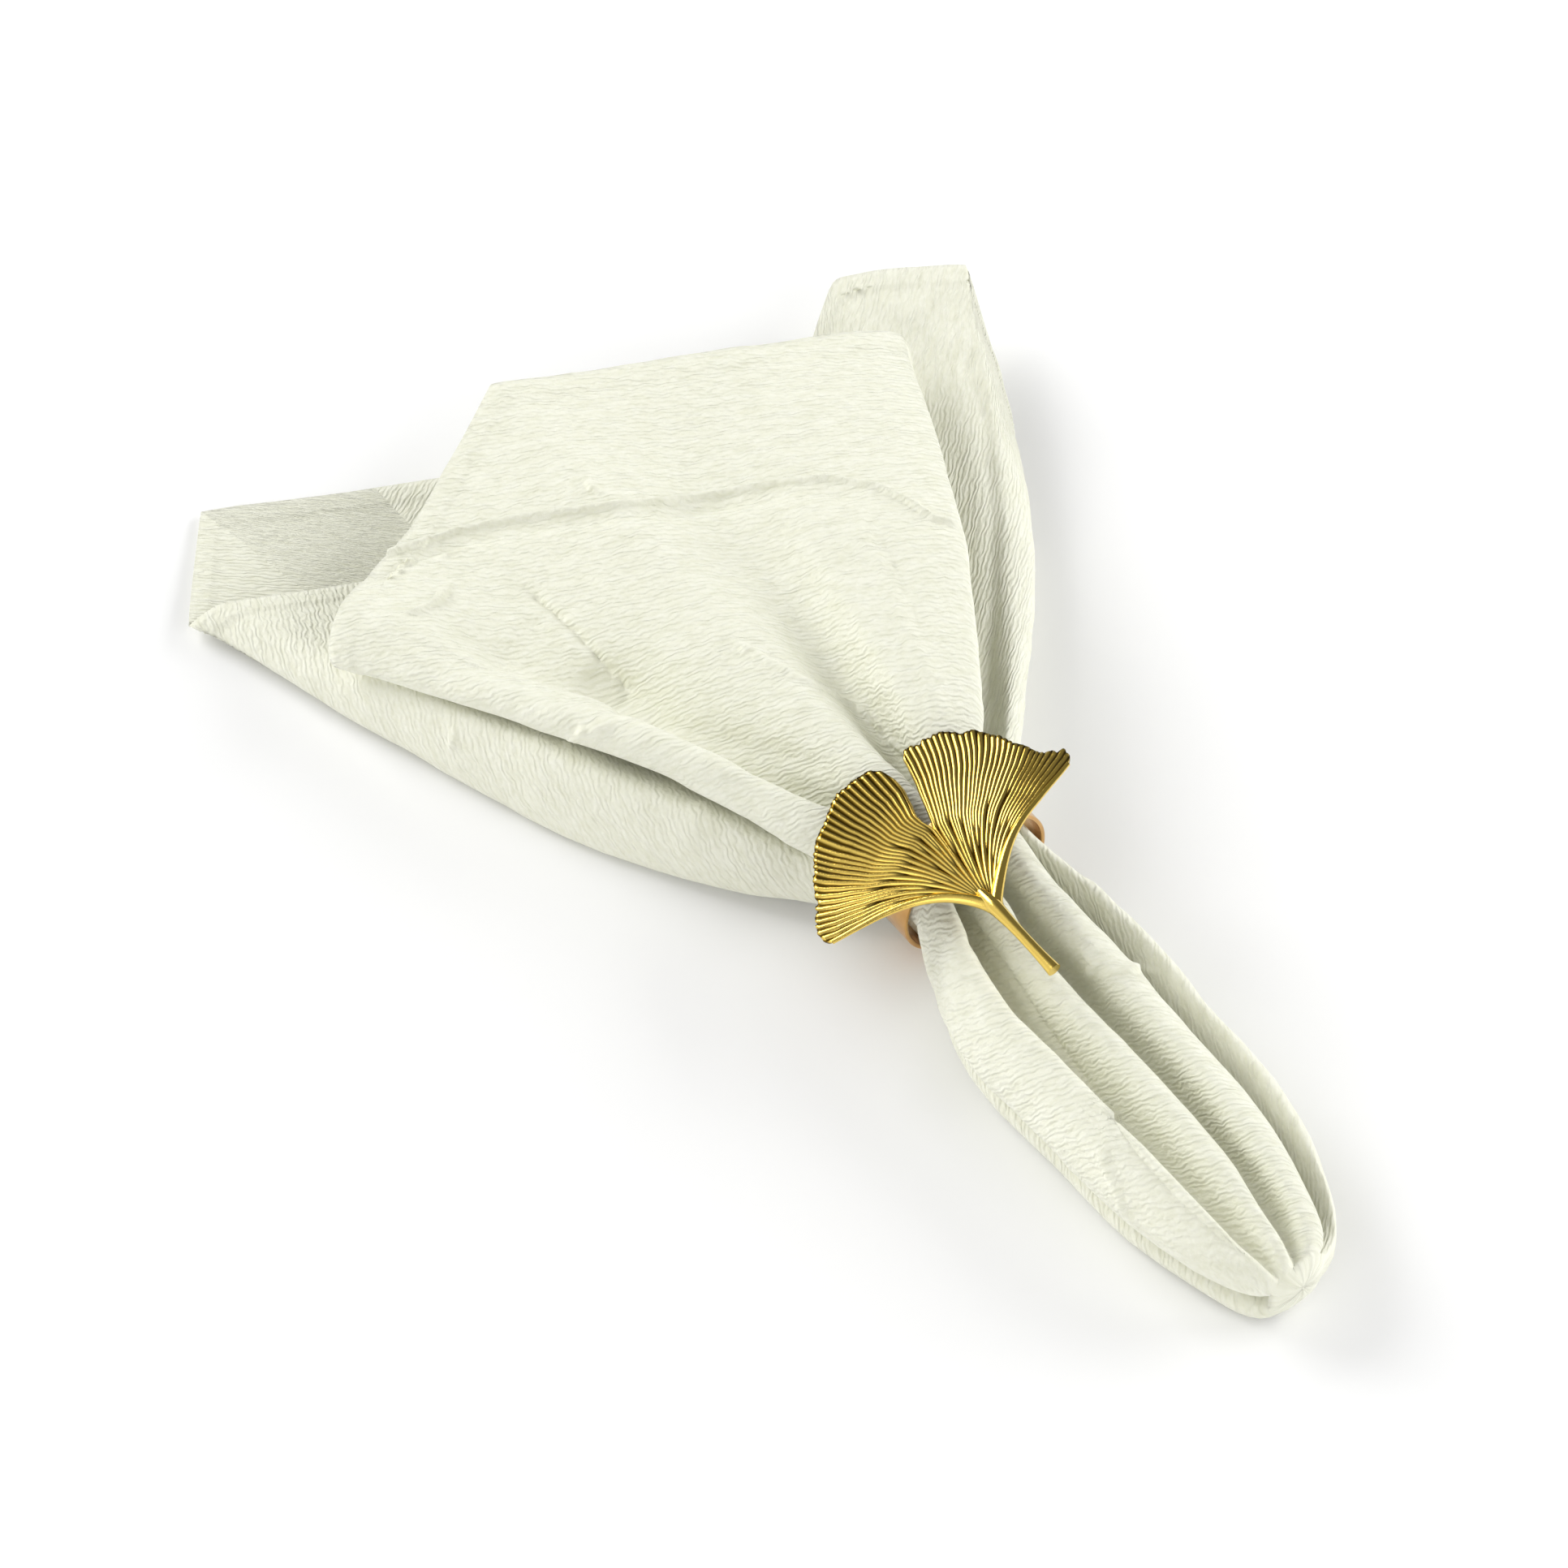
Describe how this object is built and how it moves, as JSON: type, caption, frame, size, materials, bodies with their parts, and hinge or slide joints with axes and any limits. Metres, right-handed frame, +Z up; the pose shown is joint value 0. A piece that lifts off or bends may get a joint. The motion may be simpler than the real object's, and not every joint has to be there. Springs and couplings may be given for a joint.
{
  "type": "cloth napkin in a napkin ring",
  "caption": "Crinkled cloth napkin drawn through a gold-coloured metal ring that carries a ribbed ginkgo leaf, its corners spread as a fan",
  "frame": {"origin": "On the surface directly under the ring's centre, on the flat of the ring's rim that rests there", "axes": "+Y runs along the napkin from the folded loop towards the spread corners, +X across it to the right, +Z up"},
  "size_m": [0.1862, 0.2957, 0.0418],
  "materials": {
    "crinkled_cotton": "crinkled cotton, pale cream",
    "gold_plate": "polished gold plate"
  },
  "bodies": {
    "root": {"napkin": "crinkled_cotton", "ring_band": "gold_plate", "leaf": "gold_plate"}
  },
  "joints": []
}
